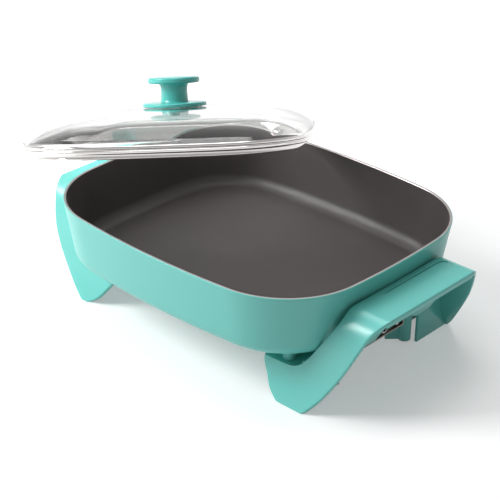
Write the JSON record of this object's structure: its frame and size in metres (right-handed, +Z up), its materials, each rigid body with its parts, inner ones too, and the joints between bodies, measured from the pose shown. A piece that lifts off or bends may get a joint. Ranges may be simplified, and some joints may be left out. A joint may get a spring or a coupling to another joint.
{
  "type": "electric skillet",
  "caption": "Electric skillet: rectangular coated pan on two plastic handles whose legs are the feet, with a loose domed glass lid leaning on the back rim.",
  "frame": {"origin": "centre of the pan on the surface that the feet stand on", "axes": "+X towards the handle with the control inlet, along the pan's long side; +Y towards the back, where the lid leans; +Z up"},
  "size_m": [0.5992, 0.4228, 0.1813],
  "materials": {
    "pan_aluminium": "satin aqua enamel outside, dark grey non-stick coating inside, bare rim edge",
    "handle_plastic": "semi-gloss moulded aqua",
    "knob_plastic": "semi-gloss moulded aqua",
    "bush_plastic": "matte moulded",
    "lid_glass": "clear tempered glass",
    "stainless_steel": "polished stainless band",
    "zinc_steel": "zinc plated",
    "element_sheath": "heat darkened sheath",
    "ceramic": "ceramic bead",
    "gasket_rubber": "translucent silicone"
  },
  "bodies": {
    "base": {"pan_body": "pan_aluminium", "heating_element": "element_sheath", "element_end_seals": "ceramic", "terminal_pins": "zinc_steel", "sensor_sleeve": "zinc_steel", "terminal_guard": "zinc_steel", "guard_screws": "zinc_steel", "right_handle": "handle_plastic", "left_handle": "handle_plastic", "tower_screws": "zinc_steel", "tower_washers": "zinc_steel", "standoff_bushes": "bush_plastic", "standoff_screws": "zinc_steel", "standoff_washers": "zinc_steel"},
    "lid": {"lid_glass": "lid_glass", "lid_rim_band": "stainless_steel", "upper_gasket": "gasket_rubber", "knob_base_disc": "knob_plastic", "lid_knob": "knob_plastic", "lower_gasket": "gasket_rubber", "lower_disc": "knob_plastic", "knob_screw_washer": "zinc_steel", "knob_screw": "zinc_steel"}
  },
  "joints": [
    {"name": "lid_lift", "type": "slide", "parent": "base", "child": "lid", "axis": [0, 0, 1], "range_m": [0, 0.25]}
  ]
}
